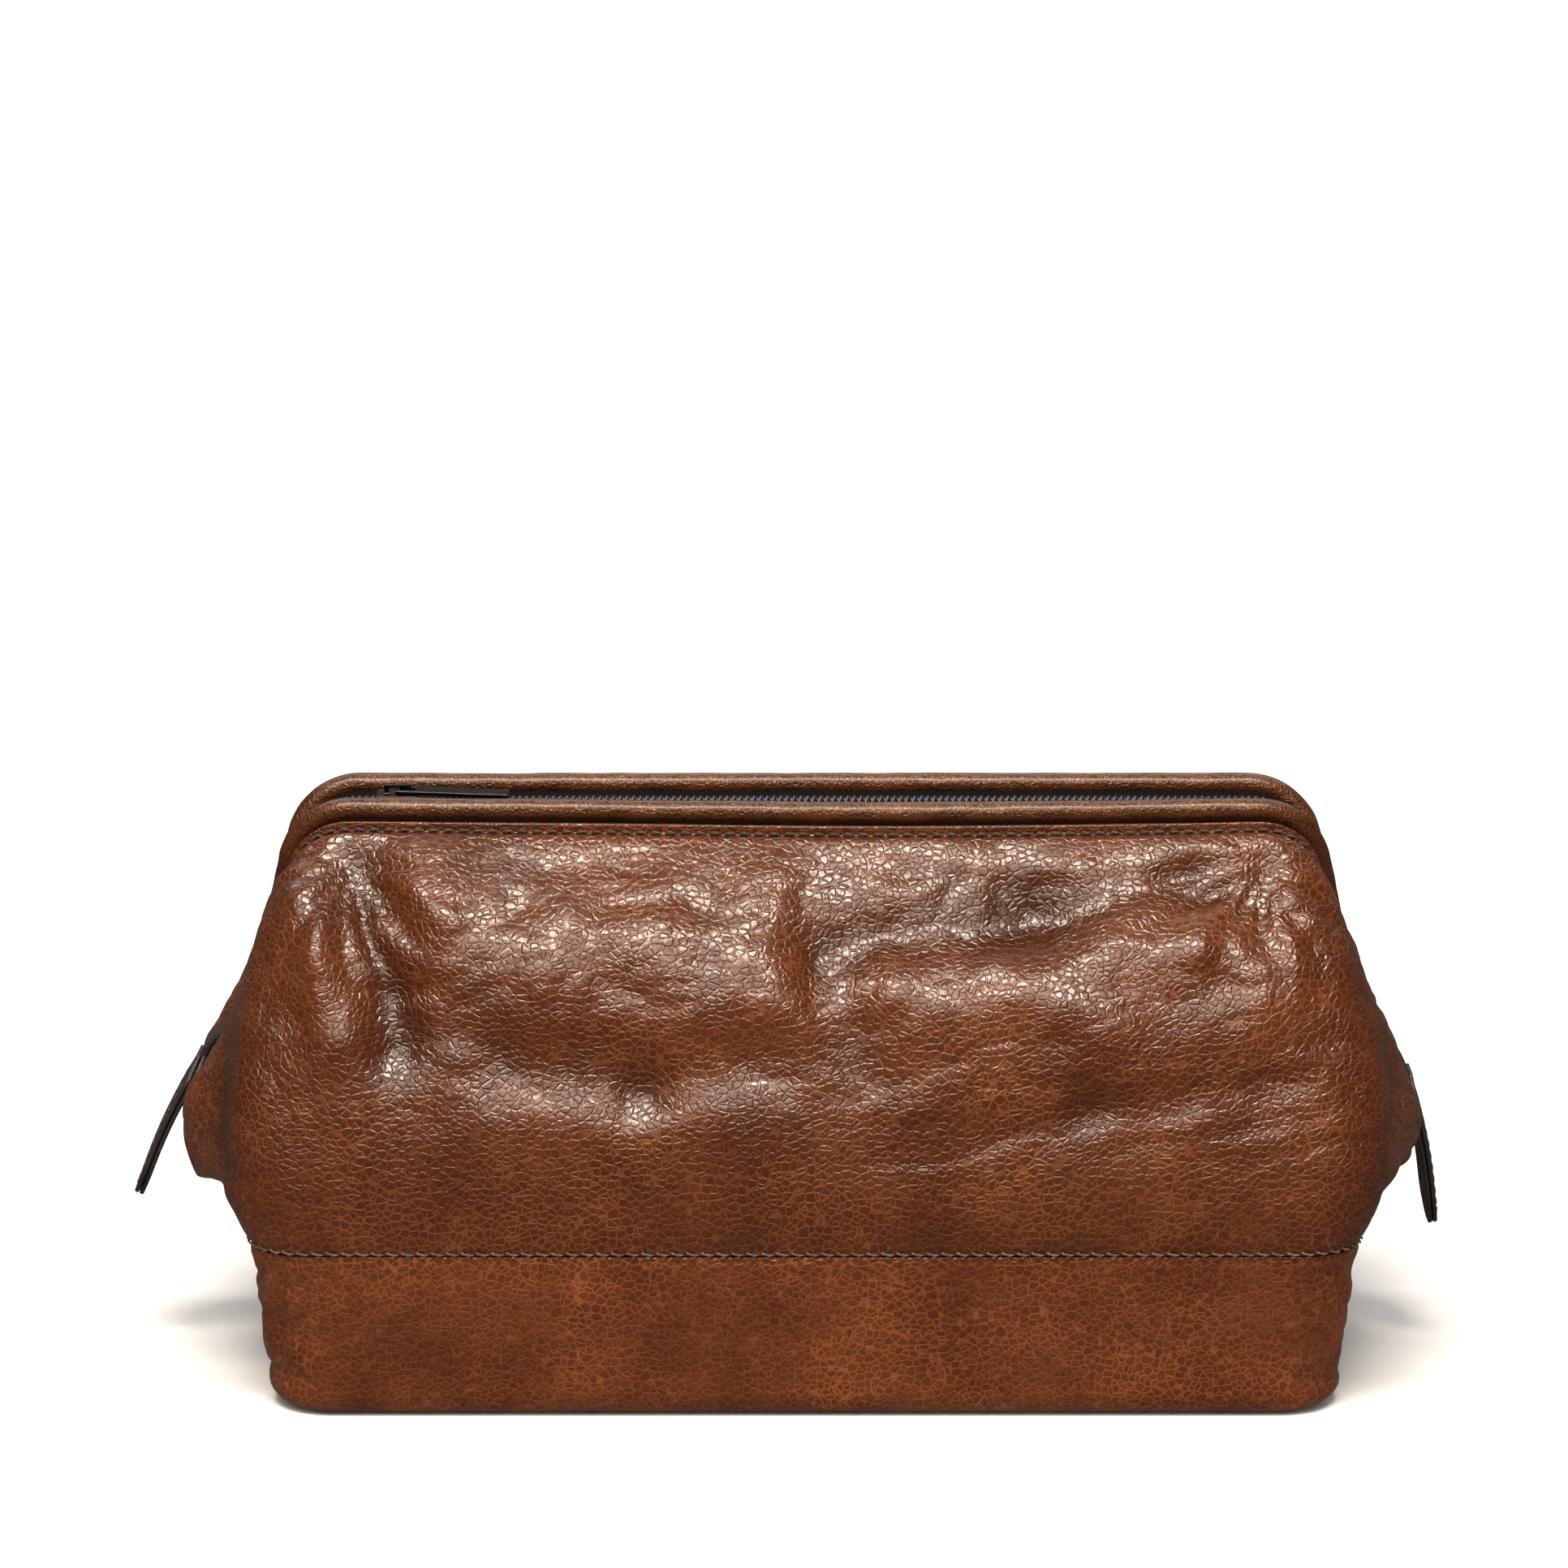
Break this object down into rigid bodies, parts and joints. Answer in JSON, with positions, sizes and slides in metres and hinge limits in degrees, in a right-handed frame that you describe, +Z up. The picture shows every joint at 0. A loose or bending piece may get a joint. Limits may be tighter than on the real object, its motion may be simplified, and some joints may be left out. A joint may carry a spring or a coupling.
{
  "type": "framed shaving kit bag",
  "caption": "Leather wash bag with a hinged steel frame round its mouth, a zip between the frame halves, a stiff flat base, a cloth lining and a leather tab at each end of the zip",
  "frame": {"origin": "middle of the flat base, on the surface that the bag stands on", "axes": "+X along the bag's length to its right end, +Y from its front to its back, +Z up"},
  "size_m": [0.2861, 0.1182, 0.1246],
  "materials": {
    "body_leather": "pebbled cognac full grain, glazed and pulled up lighter along its creases",
    "tab_leather": "smooth near-black brown, painted edges",
    "lining": "plain woven brown-grey lining cloth",
    "zip_cloth": "charcoal woven zip tape",
    "zip_nylon": "charcoal moulded nylon coil",
    "steel": "bright drawn wire, lightly brushed",
    "gunmetal": "dark gunmetal plating",
    "board": "grey-brown pressed fibre board"
  },
  "bodies": {
    "bag": {"base_tray": "body_leather", "base_board": "board", "front_panel_lower": "body_leather", "rear_panel_lower": "body_leather", "lining_lower": "lining", "slip_pocket": "lining", "left_hinge_pin": "steel", "right_hinge_pin": "steel", "left_zip_end": "zip_cloth", "right_zip_end": "zip_cloth"},
    "front_half": {"front_frame": "steel", "front_casing": "body_leather", "front_panel_upper": "body_leather", "front_lining_upper": "lining", "front_zip_tape": "zip_cloth", "front_zip_coil": "zip_nylon", "front_zip_stop_left": "gunmetal", "front_zip_stop_right": "gunmetal"},
    "rear_half": {"rear_frame": "steel", "rear_casing": "body_leather", "rear_panel_upper": "body_leather", "rear_lining_upper": "lining", "rear_zip_tape": "zip_cloth", "rear_zip_coil": "zip_nylon", "rear_zip_stop_left": "gunmetal", "rear_zip_stop_right": "gunmetal"},
    "slider": {"zip_slider": "gunmetal"},
    "puller": {"zip_puller": "gunmetal"},
    "left_tab": {"left_tab_inner": "tab_leather", "left_tab_outer": "tab_leather"},
    "right_tab": {"right_tab_inner": "tab_leather", "right_tab_outer": "tab_leather"}
  },
  "joints": [
    {"name": "front_frame_open", "type": "hinge", "parent": "bag", "child": "front_half", "pos_m": [0, 0, 0.062], "axis": [1, 0, 0], "range_deg": [0, 55], "deforming": ["front_panel_upper", "front_lining_upper"]},
    {"name": "rear_frame_open", "type": "hinge", "parent": "bag", "child": "rear_half", "pos_m": [0, 0, 0.062], "axis": [-1, 0, 0], "range_deg": [0, 55], "deforming": ["rear_panel_upper", "rear_lining_upper"]},
    {"name": "zip_slide", "type": "slide", "parent": "rear_half", "child": "slider", "axis": [1, 0, 0], "range_m": [0, 0.176]},
    {"name": "puller_flip", "type": "hinge", "parent": "slider", "child": "puller", "pos_m": [-0.088, 0, 0.12337], "axis": [0, -1, 0], "range_deg": [0, 165]},
    {"name": "left_tab_bend", "type": "hinge", "parent": "bag", "child": "left_tab", "pos_m": [-0.1312, 0, 0.065], "axis": [0, 1, 0], "range_deg": [-8, 75], "stiffness_Nm_per_rad": 0.004},
    {"name": "right_tab_bend", "type": "hinge", "parent": "bag", "child": "right_tab", "pos_m": [0.1316, 0, 0.061], "axis": [0, -1, 0], "range_deg": [-4, 75], "stiffness_Nm_per_rad": 0.004}
  ]
}
